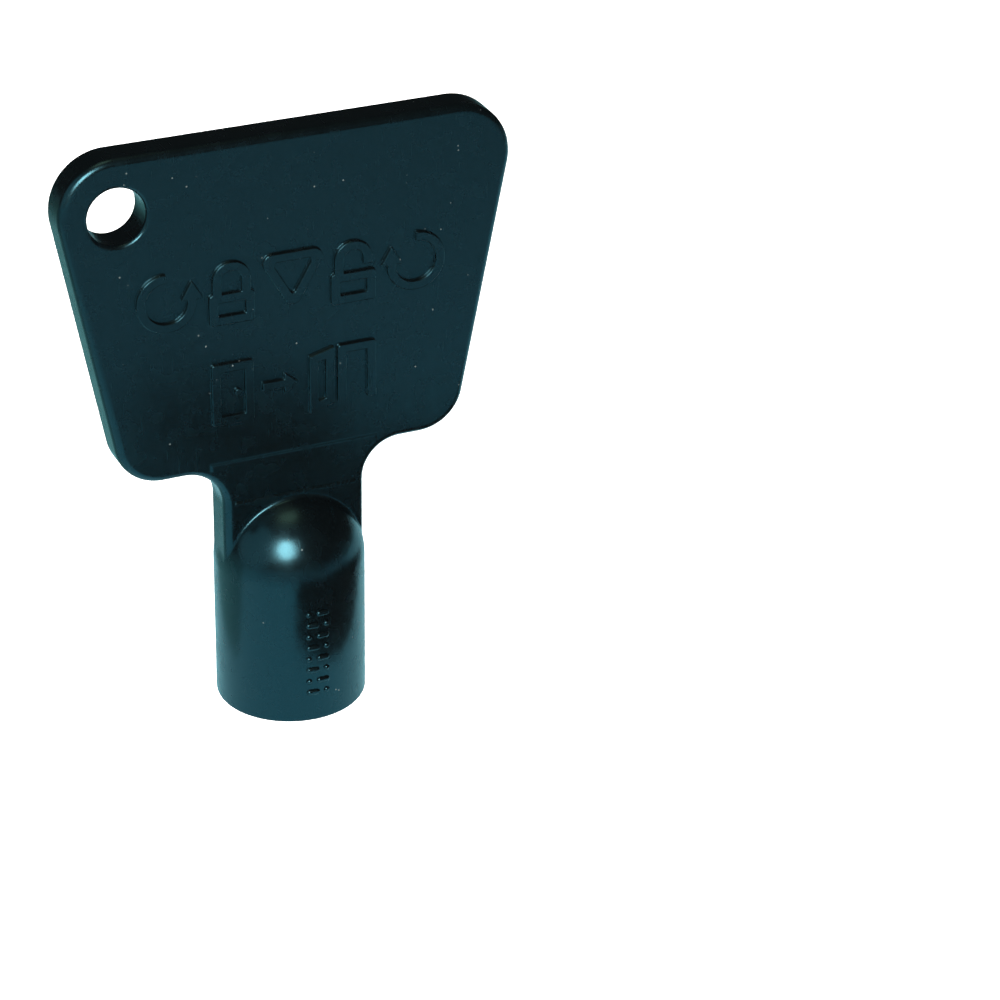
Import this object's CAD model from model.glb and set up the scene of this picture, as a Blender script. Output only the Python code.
import math

import bpy
import numpy as np
from mathutils import Matrix, Vector
from mathutils.geometry import tessellate_polygon


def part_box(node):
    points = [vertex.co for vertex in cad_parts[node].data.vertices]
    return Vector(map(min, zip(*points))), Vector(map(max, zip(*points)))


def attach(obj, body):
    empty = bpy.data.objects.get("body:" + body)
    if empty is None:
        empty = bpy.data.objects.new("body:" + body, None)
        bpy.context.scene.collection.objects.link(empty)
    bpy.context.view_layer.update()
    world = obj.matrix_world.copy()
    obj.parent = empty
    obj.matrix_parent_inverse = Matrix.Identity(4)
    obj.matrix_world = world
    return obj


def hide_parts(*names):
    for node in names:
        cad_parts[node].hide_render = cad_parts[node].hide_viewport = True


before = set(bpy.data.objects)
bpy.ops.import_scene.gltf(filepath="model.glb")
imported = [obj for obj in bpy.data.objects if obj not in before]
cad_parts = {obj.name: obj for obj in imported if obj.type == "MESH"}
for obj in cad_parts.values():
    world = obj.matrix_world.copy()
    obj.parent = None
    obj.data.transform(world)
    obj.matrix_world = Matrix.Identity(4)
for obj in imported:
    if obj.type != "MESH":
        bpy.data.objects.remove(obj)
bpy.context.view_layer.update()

# Looks of the meter cabinet key. Every piece is a closed mesh with exact normals, in the
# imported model's frame: +Z up the barrel from its open end, -Y out of the front face.
# Shapes are drawn in millimetres and made in metres.

BODY = "root"
MM = 0.001


def node_top(node):
    """Highest corner of a CAD node's box, in millimetres."""
    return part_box(node)[1] / MM


# Sizes that the frame gives
BARREL_RADIUS = node_top("barrel").x
BARREL_LENGTH = node_top("barrel").z
WEB_BOTTOM_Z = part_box("neck_web")[0].z / MM
PAD_HALF_WIDTH, HALF_PAD, PAD_TOP_Z = node_top("neck_web")
HALF_PLATE = node_top("bow_plate").y
OVERALL_HEIGHT = node_top("bow_plate").z
PIP_RISE = -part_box("barrel_pips")[0].y / MM - BARREL_RADIUS

# Plate outline and its edges
FRONT_EDGE_RADIUS = 0.8
BACK_EDGE_RADIUS = 0.5
NECK_HALF_WIDTH = 7.2
NECK_FILLET = 3.9
BOW_BOTTOM_Z = 26.4
BOW_BOTTOM_HALF_WIDTH = 17.0
BOW_BOTTOM_RADIUS = 4.6
BOW_TOP_HALF_WIDTH = 23.5
BOW_TOP_RADIUS = 5.5
PAD_SLOPE = 0.45                # width over which the web's pad rises from the bow's face
PAD_SLOPE_START = 0.16          # of the quarter turn round the edge

# Lanyard hole, and the marks of the ejector pins on the back
HOLE_DROP = 0.2
HOLE_RADIUS = 2.8
HOLE_EDGE_RADIUS = 0.45
EJECTOR_RADIUS = 2.05
EJECTOR_DEPTH = 0.12
EJECTOR_EDGE = 0.05
EJECTOR_PLACES = [(12.8, 30.8), (-12.8, 30.8), (16.7, 53.7), (-10.5, 53.8)]

# Barrel end, socket and the root of the neck on the dome
END_EDGE_BREAK = 0.3
SOCKET_SIDE = 13.8
SOCKET_CORNER_RADIUS = 2.1
SOCKET_DEPTH = 14.0
SOCKET_FLOOR_RADIUS = 0.25
ROOT_FILLET = 0.35
ROOT_FADE_START = 0.25          # of the neck's half width, from which the fillet fades
ROOT_LEAST = 0.02               # of the fillet, kept however far out

# Raised symbols and pips
FRONT_STROKE = 0.9
FRONT_RISE = 0.35
FRONT_UPPER_Z = 45.05
FRONT_LOWER_Z = 34.65
BACK_STROKE = 0.65
BACK_RISE = 0.28
BACK_UPPER_Z = 43.8
BACK_LOWER_Z = 32.7
SYMBOL_EDGE_FRACTION = 0.3
SYMBOL_FOOT_RADIUS = 0.07
OUTER_ROUND = 0.35
INNER_ROUND = 0.12
PIP_ROWS = 8
PIP_FIRST_Z = 3.3
PIP_PITCH = 1.25
PIP_HALF_WIDTH = 1.2            # of a whole row
PIP_RADIUS = 0.3
PIP_BAR_LENGTH = 1.35
PIP_TOP_GAP = 0.02              # half width of the small flat that closes a pip's top
SUNK = 0.05                     # how far a raised form's foot goes into the surface below

# Proportions of the symbols: in strokes, or of a height or width where the note says so
ARC_EASE = 1.2                  # of a small round, to keep an arc clear of it
TURN_HEAD = 1.25
TURN_HEAD_LENGTH = 1.7          # of the head's half width
ARROW_HEAD = 1.3
ARROW_HEAD_LENGTH = 1.2         # of the head's half width
DOOR_HALF_WIDTH = 0.33          # of the door's height
HANDLE_INSET = 1.75
HANDLE_RADIUS = 0.4
LEAF_GAP = 0.35
LEAF_WIDTH = 1.3                # of the door's half width
LEAF_DROP = 0.12                # of the door's height
LEAF_LINE = 1.05
LOCK_HALF_WIDTH = 0.36          # of the padlock's height
SHACKLE_WIDTH = 0.84            # of the body's width
CROWN_ROUND = 0.98              # of the shackle's half width
FREE_LEG_GAP = 0.7

# Mesh fineness
ARC_STEP = math.radians(3)
EDGE_STEPS = 6
SIDE_PIECES = 8
FILLET_STEPS = 16
BARREL_SIDES = 240
DOME_SIDES = 480
DOME_STEP = math.radians(1)
HOLE_SIDES = 72
DISC_SIDES = 48
HALVINGS = 40                   # when a surface is found by halving
SEARCH_BEYOND = 1               # how far past the barrel's radius that search starts
NORMAL_STEP = 1e-3              # to each side, when a normal is found from distances

# Black plastic. Texture scales are in features to the metre, and heights in millimetres
PLASTIC_BLACK = (0.0013, 0.0019, 0.0022, 1)
GLOSS_TINT = (0.26, 0.78, 1.0, 1)
DUST_GREY = (0.10, 0.12, 0.115, 1)
PLASTIC_IOR = 1.6
WAVE_SCALE = 260
WAVE_HEIGHT = 0.010
GRAIN_SCALE = 7000
GRAIN_HEIGHT = 0.0012
HAIR_SCALE = 420
HAIR_TURN = (0.3, 0.5, 0.4)
HAIR_SQUEEZE = (14, 1, 1)
HAIR_RANGE = (0.70, 0.76)       # of the noise, over which a hairline mark deepens
PATCH_SCALE = 180
PATCH_RANGE = (0.45, 0.65)
MARK_DEPTH = 0.002
MARK_ROUGHNESS = 0.10
SPECK_SCALE = 900
SPECK_EDGE = (0.05, 0.09)       # of a dust cell
DUSTY_SCALE = 310
DUSTY_RANGE = (0.64, 0.70)
DUST_ROUGHNESS = 0.45
GLOSS_SCALE = 520
GLOSS_RANGE = (0.3, 0.7)
SMOOTHEST = 0.22
ROUGHEST = 0.30

# Stage, in metres
STAGE_REACH = 3
BACKDROP_FOOT_Z = -0.01
PALE_GLOW = 0.97
PAPER = (0.86, 0.86, 0.86)
SEA_GREEN = (0.27, 0.63, 0.73)
DIM_GREEN = (0.20, 0.38, 0.46)
DEEP_GREEN = (0.11, 0.33, 0.35)
BLACK = (0.004, 0.004, 0.004)

# Mirrored cards just above the floor: the green ones as low and high corners, and the dark
# ones, which shade the key's front and right, as outlines
SHEET_Z = 0.0001
GREEN_CARD_Z = 0.0005
FRONT_CARD = ((-0.3, -0.4), (0.4, -0.055))
LEFT_CARD = ((-0.3, 0.0), (-0.016, 0.4))
DARK_CARD_Z = 0.003
DARK_CARD = [(-0.008, -0.052), (0.028, -0.046), (0.066, -0.036),
             (0.042, 0.014), (0.012, -0.008), (-0.005, -0.018)]
RAISED_CARD_Z = 0.014
RAISED_CARD = [(0.001, -0.048), (0.020, -0.037), (0.012, -0.024), (-0.007, -0.035)]

# Lights, in metres and watts
LIGHT_TARGET = (0, 0, 0.02)
POOL_CENTRE = (0.062, 0.062)
POOL_LIGHT_Z = 0.9
POOL_SPREAD = math.radians(22)
POOL_EDGE = 0.5
POOL_LAMP_RADIUS = 0.05
POOL_POWER = 27.0
ROOM_GLOW = (0.015, 0.018, 0.018, 1)

# Camera: turned about Z, tipped down and rolled, from in front and to the left. Its place
# and nearest sight are in metres, its lens and sensor in millimetres
CAMERA_PLACE = (-0.10921, -0.28321, 0.18541)
CAMERA_YAW = math.radians(24.97)
CAMERA_PITCH = math.radians(28.46)
CAMERA_ROLL = math.radians(0.99)
CAMERA_LENS = 127.8
SENSOR_WIDTH = 36
NEAREST_SIGHT = 0.01


# ------------------------------------------------------------------ meshes with exact normals

class Shell:
    """A closed mesh made of rings of points, with a stated normal at each face's corners."""

    def __init__(self):
        self.points = np.zeros((0, 3))
        self.faces = []
        self.normals = []

    def ring(self, points):
        """Adds a ring of points and gives their indices."""
        first = len(self.points)
        self.points = np.vstack([self.points, points])
        return np.arange(first, len(self.points))

    def add(self, faces, normals):
        """Adds faces, each wound so that it looks the way that its normals point."""
        corners = self.points[faces]
        areas = np.cross(corners[:, 2] - corners[:, 0], corners[:, -1] - corners[:, 1])
        wrong = (areas * normals.sum(axis=1)).sum(axis=1) < 0
        faces[wrong] = faces[wrong, ::-1]
        normals[wrong] = normals[wrong, ::-1]
        self.faces += faces.tolist()
        self.normals += normals.reshape(-1, 3).tolist()

    def strip(self, ring_a, ring_b, starts_a, ends_a, starts_b, ends_b):
        """Quads between two rings. Each edge has a normal at its start and at its end."""
        faces = np.column_stack([ring_a, np.roll(ring_a, -1), np.roll(ring_b, -1), ring_b])
        self.add(faces, np.stack([starts_a, ends_a, ends_b, starts_b], axis=1))

    def smooth_strip(self, ring_a, ring_b, normals_a, normals_b):
        """Quads between two rings that have one normal at each point."""
        self.strip(ring_a, ring_b, normals_a, np.roll(normals_a, -1, axis=0),
                   normals_b, np.roll(normals_b, -1, axis=0))

    def tube(self, levels):
        """Rings of (points, normals), each joined to the one before. Gives the end rings."""
        rings = []
        previous = None
        for points, normals in levels:
            ring = self.ring(points)
            if previous:
                self.smooth_strip(previous[0], ring, previous[1], normals)
            previous = (ring, normals)
            rings.append(ring)
        return rings[0], rings[-1]

    def cap(self, rings, normal):
        """Flat face inside a ring, less any further rings inside it."""
        indices = np.concatenate(rings)
        outlines = [[Vector(self.points[i]) for i in ring] for ring in rings]
        triangles = indices[np.array(tessellate_polygon(outlines))]
        corners = self.points[triangles]
        areas = np.cross(corners[:, 1] - corners[:, 0], corners[:, 2] - corners[:, 0])
        triangles[areas @ normal < 0] = triangles[areas @ normal < 0][:, ::-1]
        self.faces += triangles.tolist()
        self.normals += [normal] * (3 * len(triangles))

    def build(self, name):
        """Makes the object in metres, with the stated normals."""
        mesh = bpy.data.meshes.new(name)
        mesh.from_pydata((self.points * MM).tolist(), [], self.faces)
        mesh.polygons.foreach_set("use_smooth", [True] * len(mesh.polygons))
        normals = np.array(self.normals, float)
        normals /= np.linalg.norm(normals, axis=1)[:, None]
        mesh.normals_split_custom_set(normals.tolist())
        mesh.update()
        piece = bpy.data.objects.new(name, mesh)
        bpy.context.scene.collection.objects.link(piece)
        return piece


def stacked(columns):
    """Array of points or normals from columns that may be single numbers."""
    return np.column_stack(np.broadcast_arrays(*columns)).astype(float)


def directions(angles):
    return stacked([np.cos(angles), np.sin(angles)])


def all_round(sides):
    """Evenly spaced directions round a full turn."""
    return directions(np.arange(sides) * (2 * math.pi / sides))


def round_arc(centre, radius, start, end, steps=None):
    """Points along an arc between two angles, and their directions from its centre."""
    steps = steps or max(2, math.ceil(abs(end - start) / ARC_STEP))
    outwards = directions(np.linspace(start, end, steps + 1))
    return np.asarray(centre) + radius * outwards, outwards


def quarter_turn():
    return np.linspace(0, math.pi / 2, EDGE_STEPS + 1)


def pill(length, radius):
    """Outline of a bar with half-round ends, about its middle, with its outward normals."""
    half = length / 2 - radius
    right_end = round_arc((half, 0), radius, -math.pi / 2, math.pi / 2)
    left_end = round_arc((-half, 0), radius, math.pi / 2, 3 * math.pi / 2)
    spots = np.linspace(-half, half, SIDE_PIECES + 1)[1:-1]
    upper = (stacked([spots[::-1], radius]), stacked([spots * 0, 1]))
    lower = (stacked([spots, -radius]), stacked([spots * 0, -1]))
    return tuple(np.vstack(parts) for parts in zip(right_end, upper, left_end, lower))


def rounded_outline(corners):
    """Points and outward normals of an anticlockwise outline of (a, b, radius) corners."""
    points = []
    normals = []
    for index, (a, b, radius) in enumerate(corners):
        corner = np.array([a, b], float)
        before = np.array(corners[index - 1][:2]) - corner
        after = np.array(corners[(index + 1) % len(corners)][:2]) - corner
        before /= np.linalg.norm(before)
        after /= np.linalg.norm(after)
        half_angle = math.acos(before @ after) / 2
        middle = (before + after) / np.linalg.norm(before + after)
        centre = corner + middle * (radius / math.sin(half_angle))
        start = corner + before * (radius / math.tan(half_angle)) - centre
        end = corner + after * (radius / math.tan(half_angle)) - centre
        turn = start[0] * end[1] - start[1] * end[0]
        first = math.atan2(start[1], start[0])
        last = first + math.atan2(turn, start @ end)
        arc_points, outwards = round_arc(centre, radius, first, last)
        points.append(arc_points)
        normals.append(outwards if turn > 0 else -outwards)
    return np.vstack(points), np.vstack(normals)


# ------------------------------------------------------------------ plate: bow and neck web

def straight(start, end, normal, pieces=1):
    """A straight run of outline, with the same normal all along it."""
    points = np.linspace(start, end, pieces + 1)
    return points, np.tile(normal, (pieces + 1, 1)).astype(float)


def stood_up(run, y, lean=0.0):
    """A run stood up at a depth y, its normals leaning from the outline towards Y."""
    points, normals = run
    outwards = normals * math.cos(lean)
    return (stacked([points[:, 0], y, points[:, 1]]),
            stacked([outwards[:, 0], math.sin(lean), outwards[:, 1]]))


def both_sides(runs):
    """Closed ring from the runs of its right half, and its edges' start and end normals."""
    flip = np.array([-1, 1, 1])
    left = [(points[::-1] * flip, normals[::-1] * flip) for points, normals in reversed(runs)]
    whole = runs + left
    return (np.vstack([points[:-1] for points, normals in whole]),
            np.vstack([normals[:-1] for points, normals in whole]),
            np.vstack([normals[1:] for points, normals in whole]))


SIDE_LEAN = math.atan2(BOW_TOP_HALF_WIDTH - BOW_BOTTOM_HALF_WIDTH, OVERALL_HEIGHT - BOW_BOTTOM_Z)
FILLET_CENTRE = np.array([NECK_HALF_WIDTH + NECK_FILLET, BOW_BOTTOM_Z - NECK_FILLET])


def corner_centre(half_width, z, radius, inwards):
    """Centre of a corner of the bow, between its leaning side and a level edge."""
    x = half_width + inwards * radius * math.tan(SIDE_LEAN) - radius / math.cos(SIDE_LEAN)
    return np.array([x, z + inwards * radius])


BOTTOM_CENTRE = corner_centre(BOW_BOTTOM_HALF_WIDTH, BOW_BOTTOM_Z, BOW_BOTTOM_RADIUS, 1)
TOP_CENTRE = corner_centre(BOW_TOP_HALF_WIDTH, OVERALL_HEIGHT, BOW_TOP_RADIUS, -1)
HOLE_CENTRE = np.array([-TOP_CENTRE[0], TOP_CENTRE[1] - HOLE_DROP])


def fillet_run(radius, start, end):
    """Part of the hollow fillet between neck and bow."""
    points, outwards = round_arc(FILLET_CENTRE, radius, start, end, FILLET_STEPS)
    return points, -outwards


def bow_ring(y, inset, lean):
    """Ring round the bow, drawn in from its outline, with the web's place cut out of it."""
    fillet = NECK_FILLET + inset
    cut_angle = math.acos((PAD_HALF_WIDTH - FILLET_CENTRE[0]) / fillet)
    cut_z = FILLET_CENTRE[1] + fillet * math.sin(cut_angle)
    bottom_arc = round_arc(BOTTOM_CENTRE, BOW_BOTTOM_RADIUS - inset, -math.pi / 2, -SIDE_LEAN)
    top_arc = round_arc(TOP_CENTRE, BOW_TOP_RADIUS - inset, -SIDE_LEAN, math.pi / 2)
    notch = [
        straight((0, PAD_TOP_Z), (PAD_HALF_WIDTH, PAD_TOP_Z), (0, -1)),
        straight((PAD_HALF_WIDTH, PAD_TOP_Z), (PAD_HALF_WIDTH, cut_z), (-1, 0)),
    ]
    edge = [
        fillet_run(fillet, cut_angle, math.pi / 2),
        straight((FILLET_CENTRE[0], BOW_BOTTOM_Z + inset), bottom_arc[0][0], (0, -1)),
        bottom_arc,
        straight(bottom_arc[0][-1], top_arc[0][0], bottom_arc[1][-1], SIDE_PIECES),
        top_arc,
        straight(top_arc[0][-1], (0, OVERALL_HEIGHT - inset), (0, 1), SIDE_PIECES),
    ]
    return both_sides([stood_up(run, y) for run in notch]
                      + [stood_up(run, y, lean) for run in edge])


def web_ring(y, inset, lean):
    """Ring round the neck web: hollow sides, flat foot, and a pad that rises gently."""
    fillet = NECK_FILLET + inset
    foot_angle = math.pi - math.asin((WEB_BOTTOM_Z - FILLET_CENTRE[1]) / fillet)
    cut_angle = math.acos((PAD_HALF_WIDTH - FILLET_CENTRE[0]) / fillet)
    hollow = fillet_run(fillet, foot_angle, cut_angle)
    rise = HALF_PAD - HALF_PLATE
    side = math.copysign(1, y)
    foot = stood_up(straight((0, WEB_BOTTOM_Z), hollow[0][0], (0, -1)), y)
    # The hollow sides thin from the pad's depth to the bow's, so that both edges meet
    edge = stood_up(hollow, y - side * np.linspace(0, rise, FILLET_STEPS + 1), lean)
    climb = max(abs(lean) / (math.pi / 2) - PAD_SLOPE_START, 0) / (1 - PAD_SLOPE_START)
    pad_y = side * (HALF_PLATE + rise * climb * climb * (3 - 2 * climb))
    steepness = rise * 6 * climb * (1 - climb) / PAD_SLOPE
    pad_lean = side * math.atan2(1, steepness) if lean else 0.0
    drawn_in = PAD_SLOPE * climb
    low = (PAD_HALF_WIDTH - drawn_in, BOW_BOTTOM_Z + drawn_in / 2)
    high = (low[0], PAD_TOP_Z - drawn_in)
    pad = [
        stood_up(straight(low, high, (1, 0)), pad_y, pad_lean),
        stood_up(straight(high, (0, high[1]), (0, 1)), pad_y, pad_lean),
    ]
    step = (np.vstack([edge[0][-1], pad[0][0][0]]), np.vstack([edge[1][-1], pad[0][1][0]]))
    return both_sides([foot, edge, step] + pad)


def edged_slab(shell, ring_at, half_thickness):
    """Side walls of a slab with rounded edges. Gives its back and front rings."""
    back = [(1, BACK_EDGE_RADIUS, lean) for lean in quarter_turn()[::-1]]
    front = [(-1, FRONT_EDGE_RADIUS, -lean) for lean in quarter_turn()]
    previous = None
    rings = []
    for side, radius, lean in back + front:
        depth = half_thickness - radius * (1 - abs(math.sin(lean)))
        points, starts, ends = ring_at(side * depth, radius * (1 - math.cos(lean)), lean)
        ring = shell.ring(points)
        if previous:
            shell.strip(previous[0], ring, *previous[1:], starts, ends)
        previous = (ring, starts, ends)
        rings.append(ring)
    return rings[0], rings[-1]


def turned_rings(shell, centre, profile):
    """Rings about an axis along Y, from (radius, y, normal outwards, normal along Y)."""
    around = all_round(HOLE_SIDES)
    levels = []
    for radius, y, out_part, y_part in profile:
        points = stacked([centre[0] + radius * around[:, 0], y, centre[1] + radius * around[:, 1]])
        normals = stacked([out_part * around[:, 0], y_part, out_part * around[:, 1]])
        levels.append((points, normals))
    return shell.tube(levels)


def hole_profile():
    """Front rim, straight wall and back rim of the lanyard hole."""
    front = []
    for turn in quarter_turn():
        radius = HOLE_RADIUS + HOLE_EDGE_RADIUS * (1 - math.sin(turn))
        y = -HALF_PLATE + HOLE_EDGE_RADIUS * (1 - math.cos(turn))
        front.append((radius, y, -math.sin(turn), -math.cos(turn)))
    back = [(radius, -y, out_part, -y_part) for radius, y, out_part, y_part in reversed(front)]
    return front + back


def ejector_profile():
    """Softened rim and short wall of a round ejector mark."""
    rim = []
    for turn in quarter_turn():
        radius = EJECTOR_RADIUS + EJECTOR_EDGE * (1 - math.sin(turn))
        y = HALF_PLATE - EJECTOR_EDGE * (1 - math.cos(turn))
        rim.append((radius, y, -math.sin(turn), math.cos(turn)))
    return rim + [(EJECTOR_RADIUS, HALF_PLATE - EJECTOR_DEPTH, -1, 0)]


def make_bow():
    shell = Shell()
    back, front = edged_slab(shell, bow_ring, HALF_PLATE)
    hole_front, hole_back = turned_rings(shell, HOLE_CENTRE, hole_profile())
    back_holes = [hole_back]
    for place in EJECTOR_PLACES:
        rim, floor = turned_rings(shell, place, ejector_profile())
        shell.cap([floor], (0, 1, 0))
        back_holes.append(rim)
    shell.cap([back] + back_holes, (0, 1, 0))
    shell.cap([front, hole_front], (0, -1, 0))
    return shell.build("bow_plate_detail")


def make_web():
    shell = Shell()
    back, front = edged_slab(shell, web_ring, HALF_PAD)
    shell.cap([back], (0, 1, 0))
    shell.cap([front], (0, -1, 0))
    return shell.build("neck_web_detail")


# ------------------------------------------------------------------ shoulder and barrel

def neck_distance(x, y, z):
    """Signed distance to the neck plate with its rounded edges."""
    beside = NECK_FILLET - np.hypot(FILLET_CENTRE[0] - np.abs(x), z - FILLET_CENTRE[1])
    outside = np.where(z < FILLET_CENTRE[1], np.abs(x) - NECK_HALF_WIDTH, beside)
    radius = np.where(y < 0, FRONT_EDGE_RADIUS, BACK_EDGE_RADIUS)
    across = outside + radius
    deep = np.abs(y) - HALF_PAD + radius
    beyond = np.hypot(np.maximum(across, 0), np.maximum(deep, 0))
    return beyond + np.minimum(np.maximum(across, deep), 0) - radius


def shoulder_distance(x, y, z):
    """Signed distance to dome and neck together, with a fillet where they meet."""
    rise = z - BARREL_LENGTH
    dome = np.sqrt(x * x + y * y + rise * rise) - BARREL_RADIUS
    neck = neck_distance(x, y, z)
    # The fillet shrinks towards the neck's narrow ends, where the dome runs past them
    beside = np.abs(x) / NECK_HALF_WIDTH - ROOT_FADE_START
    fillet = ROOT_FILLET * np.clip(1 - beside, ROOT_LEAST, 1)
    dome_part = np.maximum(fillet - dome, 0)
    neck_part = np.maximum(fillet - neck, 0)
    return np.maximum(fillet, np.minimum(dome, neck)) - np.hypot(dome_part, neck_part)


def shoulder_radius(around, z):
    """Distance from the axis to the shoulder's surface in each direction, by halving."""
    inner = np.zeros(len(around))
    outer = np.full(len(around), BARREL_RADIUS + SEARCH_BEYOND)
    for _ in range(HALVINGS):
        middle = (inner + outer) / 2
        inside = shoulder_distance(middle * around[:, 0], middle * around[:, 1], z) < 0
        inner = np.where(inside, middle, inner)
        outer = np.where(inside, outer, middle)
    return inner


def shoulder_normals(points):
    """Direction in which the distance to the shoulder grows."""
    columns = []
    for axis in range(3):
        shift = np.zeros(3)
        shift[axis] = NORMAL_STEP
        ahead = shoulder_distance(*(points + shift).T)
        behind = shoulder_distance(*(points - shift).T)
        columns.append(ahead - behind)
    return stacked(columns) / (2 * NORMAL_STEP)


def make_shoulder():
    shell = Shell()
    around = all_round(DOME_SIDES)
    climbs = np.arange(0, math.pi / 2, DOME_STEP)
    heights = list(BARREL_LENGTH + BARREL_RADIUS * np.sin(climbs)) + [WEB_BOTTOM_Z]
    levels = []
    for z in heights:
        radius = shoulder_radius(around, z)
        points = stacked([radius * around[:, 0], radius * around[:, 1], z])
        levels.append((points, shoulder_normals(points)))
    bottom, top = shell.tube(levels)
    shell.cap([bottom], (0, 0, -1))
    shell.cap([top], (0, 0, 1))
    return shell.build("shoulder_detail")


def socket_outline():
    inner = SOCKET_SIDE / (2 * math.sqrt(3))
    return rounded_outline([
        (SOCKET_SIDE / 2, inner, SOCKET_CORNER_RADIUS),
        (-SOCKET_SIDE / 2, inner, SOCKET_CORNER_RADIUS),
        (0, -2 * inner, SOCKET_CORNER_RADIUS),
    ])


def upright_rings(shell, outline, profile):
    """Rings up an outline, from (growth, z, normal outwards, normal up)."""
    points, outwards = outline
    levels = []
    for growth, z, out_part, up_part in profile:
        grown = points + growth * outwards
        normals = stacked([out_part * outwards[:, 0], out_part * outwards[:, 1], up_part])
        levels.append((stacked([grown[:, 0], grown[:, 1], z]), normals))
    return shell.tube(levels)


def make_barrel():
    shell = Shell()
    around = all_round(BARREL_SIDES)
    outer = []
    mouth = []
    floor = []
    for turn in quarter_turn():
        sine = math.sin(turn)
        cosine = math.cos(turn)
        inwards = END_EDGE_BREAK * (1 - sine)
        rise = END_EDGE_BREAK * (1 - cosine)
        outer.append((-inwards, rise, sine, -cosine))
        mouth.append((inwards, rise, -sine, -cosine))
        floor_z = SOCKET_DEPTH - SOCKET_FLOOR_RADIUS * (1 - sine)
        floor.append((SOCKET_FLOOR_RADIUS * (cosine - 1), floor_z, -cosine, -sine))
    outer.append((0, BARREL_LENGTH, 1, 0))
    foot, top = upright_rings(shell, (around * BARREL_RADIUS, around), outer)
    socket_mouth, socket_floor = upright_rings(shell, socket_outline(), mouth + floor)
    shell.cap([foot, socket_mouth], (0, 0, -1))
    shell.cap([top], (0, 0, 1))
    shell.cap([socket_floor], (0, 0, -1))
    return shell.build("barrel_detail")


# ------------------------------------------------------------------ raised symbols and pips

def inner_loop(corners):
    """Outline of an opening: its normals look into the opening."""
    points, outwards = rounded_outline(corners)
    return points, -outwards


def disc_loop(a, b, radius):
    outwards = all_round(DISC_SIDES)
    return np.array([a, b]) + radius * outwards, outwards


def box_corners(low_a, low_b, high_a, high_b, radius):
    return [(low_a, low_b, radius), (high_a, low_b, radius),
            (high_a, high_b, radius), (low_a, high_b, radius)]


def triangle(height, line):
    """Equilateral triangle outline, one corner down."""
    half_side = height / math.sqrt(3)
    inner_half = half_side - line * math.sqrt(3)
    outer = [(-half_side, height / 2, line), (0, -height / 2, line), (half_side, height / 2, line)]
    inner = [(-inner_half, height / 2 - line, line / 3), (0, -height / 2 + 2 * line, line / 3),
             (inner_half, height / 2 - line, line / 3)]
    return [[rounded_outline(outer), inner_loop(inner)]]


def turn_arrow(height, line, clockwise):
    """Three quarters of a ring with an arrowhead at its end."""
    outer = height / 2
    inner = outer - line
    middle = outer - line / 2
    head = line * TURN_HEAD
    ease = INNER_ROUND * ARC_EASE
    corners = [
        (outer, 0, INNER_ROUND), (middle + head, 0, INNER_ROUND),
        (middle, head * TURN_HEAD_LENGTH, INNER_ROUND), (middle - head, 0, INNER_ROUND),
        (inner, 0, INNER_ROUND), (inner, -inner, inner - ease), (-inner, -inner, inner),
        (-inner, inner, inner - ease), (0, inner, INNER_ROUND), (0, outer, INNER_ROUND),
        (-outer, outer, outer - ease), (-outer, -outer, outer), (outer, -outer, outer - ease),
    ]
    if clockwise:
        corners = [(-a, b, radius) for a, b, radius in reversed(corners)]
    return [[rounded_outline(corners)]]


def straight_arrow(length, line):
    """Arrow pointing right, centred on its length."""
    half = line / 2
    head = line * ARROW_HEAD
    tip = length / 2
    neck = tip - head * ARROW_HEAD_LENGTH
    corners = [(-tip, -half), (neck, -half), (neck, -head), (tip, 0), (neck, head), (neck, half),
               (-tip, half)]
    return [[rounded_outline([(a, b, INNER_ROUND) for a, b in corners])]]


def framed(low_a, low_b, high_a, high_b, line):
    """Rounded rectangle one stroke wide: its outer and inner corners."""
    outer = box_corners(low_a, low_b, high_a, high_b, OUTER_ROUND)
    inner = box_corners(low_a + line, low_b + line, high_a - line, high_b - line, INNER_ROUND)
    return outer, inner


def closed_door(height, line):
    """Door leaf in its frame, with a round handle."""
    half_width = height * DOOR_HALF_WIDTH
    outer, inner = framed(-half_width, -height / 2, half_width, height / 2, line)
    handle = disc_loop(half_width - line * HANDLE_INSET, 0, line * HANDLE_RADIUS)
    return [[rounded_outline(outer), inner_loop(inner)], [handle]]


def open_door(height, line):
    """Door frame, open at its foot, with the leaf swung out to its left."""
    half_width = height * DOOR_HALF_WIDTH
    top = height / 2
    frame_corners = [
        (-half_width, -top, INNER_ROUND), (-half_width + line, -top, INNER_ROUND),
        (-half_width + line, top - line, INNER_ROUND), (half_width - line, top - line, INNER_ROUND),
        (half_width - line, -top, INNER_ROUND), (half_width, -top, INNER_ROUND),
        (half_width, top, OUTER_ROUND), (-half_width, top, OUTER_ROUND),
    ]
    hinge = -half_width - line * LEAF_GAP
    far = hinge - half_width * LEAF_WIDTH
    drop = height * LEAF_DROP
    sink = line * drop / (hinge - far)
    inset = line * LEAF_LINE
    leaf = [(far, -top - drop), (hinge, -top), (hinge, top), (far, top - drop)]
    pane = [
        (far + line, -top - drop + sink + inset), (hinge - line, -top - sink + inset),
        (hinge - line, top - sink - inset), (far + line, top - drop + sink - inset),
    ]
    leaf_loops = [rounded_outline([(a, b, INNER_ROUND) for a, b in leaf]),
                  inner_loop([(a, b, INNER_ROUND) for a, b in pane])]
    return [[rounded_outline(frame_corners)], leaf_loops]


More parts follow.
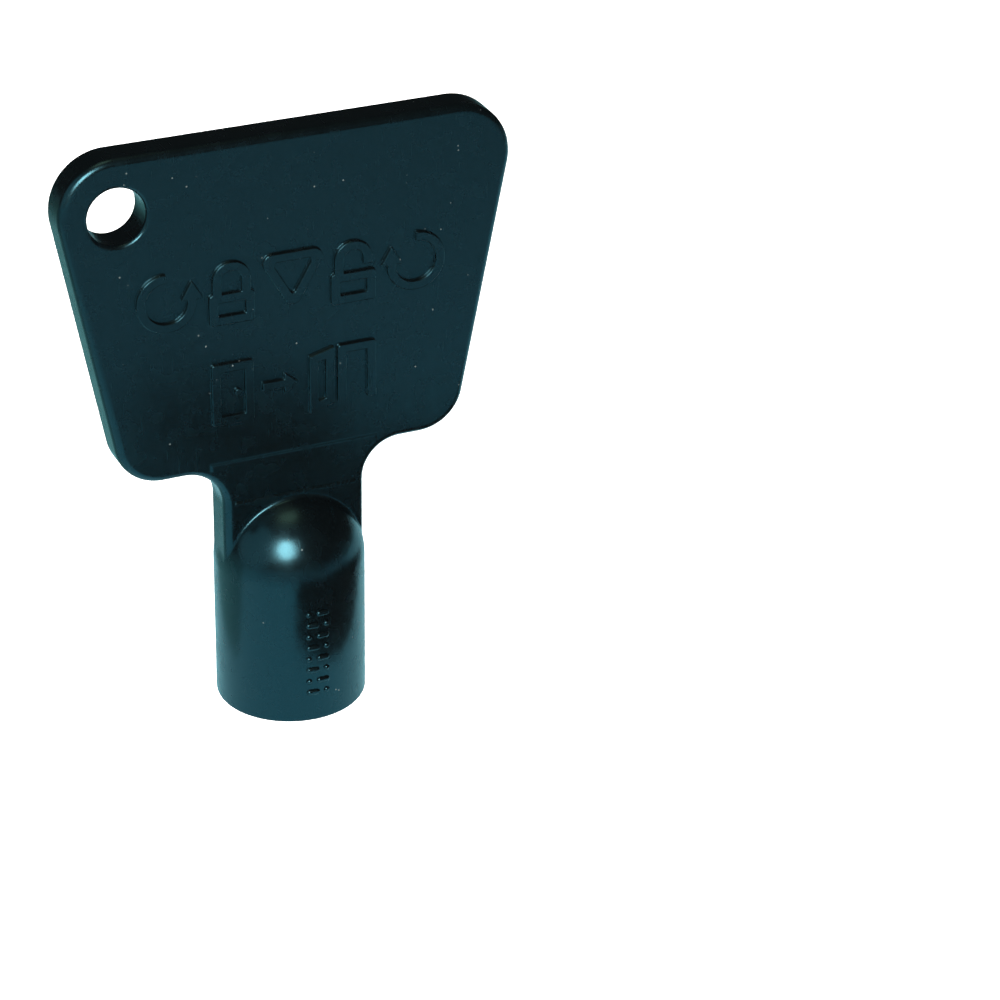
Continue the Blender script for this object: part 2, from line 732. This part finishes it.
def padlock(height, line, is_open):
    """Outlined padlock; when it is open one leg of the shackle stands clear."""
    half_width = height * LOCK_HALF_WIDTH
    outer = half_width * SHACKLE_WIDTH
    inner = outer - line
    top = height / 2
    under = top - line
    body, pane = framed(-half_width, -height / 2, half_width, 0, line)
    crown = [(outer, top, outer * CROWN_ROUND), (-outer, top, outer * CROWN_ROUND),
             (-outer, 0, INNER_ROUND)]
    under_crown = [(-inner, 0, INNER_ROUND), (-inner, under, inner * CROWN_ROUND),
                   (inner, under, inner * CROWN_ROUND)]
    free_foot = line * FREE_LEG_GAP
    if is_open:
        shackle = under_crown + [(inner, free_foot, INNER_ROUND), (outer, free_foot, INNER_ROUND)]
        return [[rounded_outline(body[:3] + shackle + crown + body[3:]), inner_loop(pane)]]
    opening = [(inner, 0, INNER_ROUND)] + under_crown[::-1]
    outside = body[:3] + [(outer, 0, INNER_ROUND)] + crown + body[3:]
    return [[rounded_outline(outside), inner_loop(pane), inner_loop(opening)]]


def raise_form(shell, loops, profile, place):
    """A raised form on a surface, from (growth, rise, normal outwards, normal up)."""
    feet = []
    tops = []
    for points, outwards in loops:
        levels = [place(points + growth * outwards, rise, out_part * outwards, up_part)
                  for growth, rise, out_part, up_part in profile]
        foot, top = shell.tube(levels)
        feet.append(foot)
        tops.append(top)
    middle = loops[0][0].mean(axis=0)[None]
    _, upwards = place(middle, 0, np.zeros((1, 2)), 1)
    shell.cap(tops, tuple(upwards[0]))
    shell.cap(feet, tuple(-upwards[0]))


def symbol_profile(rise):
    """Hollow foot, wall and rounded top edge of a symbol."""
    foot = SYMBOL_FOOT_RADIUS
    edge = rise * SYMBOL_EDGE_FRACTION
    profile = [(foot, -SUNK, 1, 0)]
    for turn in quarter_turn():
        profile.append((foot * (1 - math.sin(turn)), foot * (1 - math.cos(turn)),
                        math.sin(turn), math.cos(turn)))
    for turn in quarter_turn():
        profile.append((edge * (math.cos(turn) - 1), rise - edge * (1 - math.sin(turn)),
                        math.cos(turn), math.sin(turn)))
    return profile


def pip_profile():
    """Domed side of a pip: a quarter of an ellipse that all but closes at the top."""
    reach = PIP_RADIUS - PIP_TOP_GAP
    profile = [(0, -SUNK, 1, 0)]
    for turn in quarter_turn():
        profile.append((reach * (math.cos(turn) - 1), PIP_RISE * math.sin(turn),
                        PIP_RISE * math.cos(turn), reach * math.sin(turn)))
    return profile


def on_face(x, z, side):
    """Places a form on the front (side -1) or back (side 1) face, upright to its reader."""
    def place(points, rise, normals, up_part):
        made = stacked([x - side * points[:, 0], side * (HALF_PLATE + rise), z + points[:, 1]])
        return made, stacked([-side * normals[:, 0], side * up_part, normals[:, 1]])
    return place


def on_barrel(x, z):
    """Places a form on the front of the barrel, bent round it."""
    def place(points, rise, normals, up_part):
        turn = np.arcsin((x + points[:, 0]) / BARREL_RADIUS)
        radius = BARREL_RADIUS + rise
        made = stacked([radius * np.sin(turn), -radius * np.cos(turn), z + points[:, 1]])
        leaned = stacked([
            normals[:, 0] * np.cos(turn) + up_part * np.sin(turn),
            normals[:, 0] * np.sin(turn) - up_part * np.cos(turn),
            normals[:, 1],
        ])
        return made, leaned
    return place


def make_symbols(node, rise, side, z, placed):
    """One piece for a node of symbols, from its pairs of (x, forms)."""
    shell = Shell()
    for x, forms in placed:
        for loops in forms:
            raise_form(shell, loops, symbol_profile(rise), on_face(x, z, side))
    return shell.build(node + "_detail")


def make_pips():
    """Column of low pips on the barrel: a bar and a dot in each row, changing sides."""
    shell = Shell()
    bar = pill(PIP_BAR_LENGTH, PIP_RADIUS)
    dot = disc_loop(0, 0, PIP_RADIUS)
    for row in range(PIP_ROWS):
        z = PIP_FIRST_Z + row * PIP_PITCH
        side = -1 if row % 2 else 1
        dot_x = side * (PIP_HALF_WIDTH - PIP_RADIUS)
        bar_x = side * (PIP_BAR_LENGTH / 2 - PIP_HALF_WIDTH)
        raise_form(shell, [dot], pip_profile(), on_barrel(dot_x, z))
        raise_form(shell, [bar], pip_profile(), on_barrel(bar_x, z))
    return shell.build("barrel_pips_detail")


def make_front_symbols():
    """Pieces by node. Each node has its row's height and its forms, each at its own x."""
    line = FRONT_STROKE
    rows = {
        "front_turn_arrows": (FRONT_UPPER_Z, [
            (-12.5, turn_arrow(5.9, line, False)), (12.5, turn_arrow(5.9, line, True))]),
        "front_lock_symbols": (FRONT_UPPER_Z, [
            (-6.1, padlock(6.3, line, False)), (6.1, padlock(6.3, line, True))]),
        "front_drive_symbol": (FRONT_UPPER_Z, [(0, triangle(6.3, line))]),
        "front_door_symbols": (FRONT_LOWER_Z, [
            (-6.2, closed_door(6.4, line)), (-1.4, straight_arrow(3.6, line)),
            (6.4, open_door(6.0, line))]),
    }
    return {node: make_symbols(node, FRONT_RISE, -1, z, placed)
            for node, (z, placed) in rows.items()}


def make_back_symbols():
    """Pieces by node, as on the front."""
    line = BACK_STROKE
    rows = {
        "back_drive_symbols": (BACK_UPPER_Z, [
            (12.1, turn_arrow(4.2, line, False)), (7.2, triangle(4.2, line))]),
        "back_door_symbols": (BACK_UPPER_Z, [
            (-2.4, closed_door(4.2, line)), (-6.4, straight_arrow(3.0, line)),
            (-12.4, open_door(4.0, line))]),
        "back_lock_symbols": (BACK_LOWER_Z, [
            (5.4, padlock(4.0, line, False)), (0.6, straight_arrow(3.4, line)),
            (-4.2, padlock(4.0, line, True))]),
    }
    return {node: make_symbols(node, BACK_RISE, 1, z, placed)
            for node, (z, placed) in rows.items()}


# ------------------------------------------------------------------ black moulded plastic

def moulded_plastic():
    """Glossy black plastic with the fine unevenness, handling marks and dust of a real one."""
    material = bpy.data.materials.new("black_moulded_plastic")
    material.use_nodes = True
    tree = material.node_tree
    nodes = tree.nodes
    shader = nodes["Principled BSDF"]

    def feed(socket, value):
        """Links a socket to another one's output, or sets its plain value."""
        if isinstance(value, bpy.types.NodeSocket):
            tree.links.new(value, socket)
        else:
            socket.default_value = value

    def node(kind, settings, **inputs):
        made = nodes.new(kind)
        for name, value in settings.items():
            setattr(made, name, value)
        for name, value in inputs.items():
            feed(made.inputs[name.replace("_", " ")], value)
        return made

    place = node("ShaderNodeTexCoord", {}).outputs["Object"]

    def noise(scale, detail, vector=place):
        made = node("ShaderNodeTexNoise", {}, Vector=vector, Scale=scale, Detail=detail)
        return made.outputs["Fac"]

    def ranged(value, low, high, to_low, to_high):
        made = node("ShaderNodeMapRange", {}, Value=value, From_Min=low, From_Max=high,
                    To_Min=to_low, To_Max=to_high)
        return made.outputs["Result"]

    def combined(operation, a, b):
        made = node("ShaderNodeMath", {"operation": operation})
        for socket, value in zip(made.inputs, (a, b)):
            feed(socket, value)
        return made.outputs["Value"]

    # Slow waviness of the moulded surface, fine grain, and hairline handling marks
    waves = noise(WAVE_SCALE, 1)
    grain = noise(GRAIN_SCALE, 2)
    turned = node("ShaderNodeMapping", {}, Vector=place, Rotation=HAIR_TURN,
                  Scale=HAIR_SQUEEZE)
    hairs = ranged(noise(HAIR_SCALE, 1, turned.outputs["Vector"]), *HAIR_RANGE, 0, 1)
    patches = ranged(noise(PATCH_SCALE, 2), *PATCH_RANGE, 0, 1)
    marks = combined("MULTIPLY", hairs, patches)

    # Dust: sparse specks, at most 0.2 mm across
    cells = node("ShaderNodeTexVoronoi", {}, Vector=place, Scale=SPECK_SCALE)
    near_middle = ranged(cells.outputs["Distance"], *SPECK_EDGE, 1, 0)
    chosen = ranged(noise(DUSTY_SCALE, 0), *DUSTY_RANGE, 0, 1)
    dust = combined("MULTIPLY", near_middle, chosen)

    roughness = ranged(noise(GLOSS_SCALE, 3), *GLOSS_RANGE, SMOOTHEST, ROUGHEST)
    roughness = combined("ADD", roughness, combined("MULTIPLY", marks, MARK_ROUGHNESS))
    roughness = combined("ADD", roughness, combined("MULTIPLY", dust, DUST_ROUGHNESS))

    # A colour Mix node's factor is its input 0, its colours 6 and 7, and its result output 2
    shade = node("ShaderNodeMix", {"data_type": "RGBA"})
    feed(shade.inputs[0], dust)
    feed(shade.inputs[6], PLASTIC_BLACK)
    feed(shade.inputs[7], DUST_GREY)

    wave_bump = node("ShaderNodeBump", {}, Height=waves, Strength=1.0,
                     Distance=WAVE_HEIGHT * MM)
    grain_bump = node("ShaderNodeBump", {}, Height=grain, Strength=1.0,
                      Distance=GRAIN_HEIGHT * MM)
    mark_bump = node("ShaderNodeBump", {"invert": True}, Height=marks, Strength=1.0,
                     Distance=MARK_DEPTH * MM)
    feed(grain_bump.inputs["Normal"], wave_bump.outputs["Normal"])
    feed(mark_bump.inputs["Normal"], grain_bump.outputs["Normal"])

    feed(shader.inputs["Base Color"], shade.outputs[2])
    feed(shader.inputs["Specular Tint"], GLOSS_TINT)
    feed(shader.inputs["IOR"], PLASTIC_IOR)
    feed(shader.inputs["Roughness"], roughness)
    feed(shader.inputs["Normal"], mark_bump.outputs["Normal"])
    return material


# ------------------------------------------------------------------ stage, lights and camera

def plain_material(name, colour, glow=0.0):
    material = bpy.data.materials.new(name)
    material.use_nodes = True
    shader = material.node_tree.nodes["Principled BSDF"]
    shader.inputs["Base Color"].default_value = (*colour, 1)
    shader.inputs["Roughness"].default_value = 1.0
    shader.inputs["Specular IOR Level"].default_value = 0.0
    shader.inputs["Emission Color"].default_value = (1, 1, 1, 1)
    shader.inputs["Emission Strength"].default_value = glow
    return material


def staged(name, corners, faces, material):
    """A stage piece made of a few flat faces."""
    mesh = bpy.data.meshes.new(name)
    mesh.from_pydata(corners, [], faces)
    piece = bpy.data.objects.new(name, mesh)
    piece.data.materials.append(material)
    bpy.context.scene.collection.objects.link(piece)
    return piece


def at_height(corners, z):
    return [(x, y, z) for x, y in corners]


def oblong(low, high):
    return [low, (high[0], low[1]), high, (low[0], high[1])]


WHOLE_STAGE = oblong((-STAGE_REACH, -STAGE_REACH), (STAGE_REACH, STAGE_REACH))


def make_floor():
    paper = plain_material("floor_paper", PAPER, PALE_GLOW)
    staged("floor", at_height(WHOLE_STAGE, 0), [(0, 1, 2, 3)], paper)


def make_backdrop():
    """Pale walls and ceiling far round the floor, which only the camera sees."""
    corners = at_height(WHOLE_STAGE, BACKDROP_FOOT_Z) + at_height(WHOLE_STAGE, STAGE_REACH)
    faces = [(0, 1, 5, 4), (1, 2, 6, 5), (2, 3, 7, 6), (3, 0, 4, 7), (4, 5, 6, 7)]
    backdrop = staged("backdrop", corners, faces, plain_material("backdrop", BLACK, PALE_GLOW))
    backdrop.visible_diffuse = False
    backdrop.visible_glossy = False
    backdrop.visible_shadow = False


def mirrored_card(name, outline, z, colour):
    """Card near the floor that is seen only as it mirrors in the plastic."""
    face = tuple(range(len(outline)))
    card = staged(name, at_height(outline, z), [face], plain_material(name, colour))
    card.visible_camera = False
    card.visible_diffuse = False
    card.visible_shadow = False


def make_stage():
    make_floor()
    make_backdrop()
    # The sea-green sheet gives the plastic its cast; the darker cards lie on top of it
    mirrored_card("sea_green_sheet", WHOLE_STAGE, SHEET_Z, SEA_GREEN)
    mirrored_card("front_card", oblong(*FRONT_CARD), GREEN_CARD_Z, DIM_GREEN)
    mirrored_card("left_card", oblong(*LEFT_CARD), GREEN_CARD_Z, DEEP_GREEN)
    mirrored_card("dark_card", DARK_CARD, DARK_CARD_Z, BLACK)
    mirrored_card("raised_dark_card", RAISED_CARD, RAISED_CARD_Z, BLACK)


def hung(lamp, place, target):
    """Adds a light at a place, its -Z towards a target, unseen by the camera."""
    turned = (Vector(target) - Vector(place)).to_track_quat("-Z", "Y").to_matrix().to_4x4()
    lamp.matrix_world = Matrix.Translation(place) @ turned
    lamp.visible_camera = False
    bpy.context.scene.collection.objects.link(lamp)


def disc_light(name, place, target, size, power, colour):
    """Round area light."""
    light = bpy.data.lights.new(name, "AREA")
    light.shape = "DISK"
    light.size = size
    light.energy = power
    light.color = colour
    hung(bpy.data.objects.new(name, light), place, target)


def paper_light():
    """Soft-edged pool of light on the cards, which the key mirrors. It throws no shadow."""
    light = bpy.data.lights.new("paper_light", "SPOT")
    light.spot_size = POOL_SPREAD
    light.spot_blend = POOL_EDGE
    light.shadow_soft_size = POOL_LAMP_RADIUS
    light.energy = POOL_POWER
    light.use_shadow = False
    lamp = bpy.data.objects.new("paper_light", light)
    lamp.visible_glossy = False
    hung(lamp, (*POOL_CENTRE, POOL_LIGHT_Z), (*POOL_CENTRE, 0))


def make_lights():
    disc_light("front_softbox", place=(-0.25, -0.50, 0.37), target=LIGHT_TARGET,
               size=0.32, power=7.0, colour=(1.0, 0.87, 0.80))
    disc_light("left_fill", place=(-0.85, -0.15, 0.42), target=LIGHT_TARGET,
               size=1.1, power=2.1, colour=(0.55, 0.95, 1.0))
    disc_light("warm_ceiling", place=(-0.05, -0.05, 0.9), target=(0, 0, 0),
               size=0.40, power=0.72, colour=(1.0, 0.75, 0.45))
    paper_light()
    world = bpy.data.worlds.new("studio")
    world.use_nodes = True
    background = world.node_tree.nodes["Background"]
    background.inputs["Color"].default_value = ROOM_GLOW
    background.inputs["Strength"].default_value = 1.0
    bpy.context.scene.world = world


def make_camera():
    data = bpy.data.cameras.new("camera")
    data.lens = CAMERA_LENS
    data.sensor_width = SENSOR_WIDTH
    data.clip_start = NEAREST_SIGHT
    camera = bpy.data.objects.new("camera", data)
    upright = Matrix.Rotation(math.pi / 2, 4, "X")
    tipped = Matrix.Rotation(-CAMERA_PITCH, 4, "X") @ Matrix.Rotation(-CAMERA_ROLL, 4, "Y")
    turned = Matrix.Rotation(-CAMERA_YAW, 4, "Z")
    camera.matrix_world = Matrix.Translation(CAMERA_PLACE) @ turned @ tipped @ upright
    bpy.context.scene.collection.objects.link(camera)
    bpy.context.scene.camera = camera


def main():
    pieces = {
        "bow_plate": make_bow(),
        "neck_web": make_web(),
        "shoulder": make_shoulder(),
        "barrel": make_barrel(),
        "barrel_pips": make_pips(),
    }
    pieces.update(make_front_symbols())
    pieces.update(make_back_symbols())
    plastic = moulded_plastic()
    for node, piece in pieces.items():
        piece.data.materials.append(plastic)
        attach(piece, BODY)
        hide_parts(node)
    make_stage()
    make_lights()
    make_camera()
    bpy.context.scene.view_settings.view_transform = "Standard"


main()
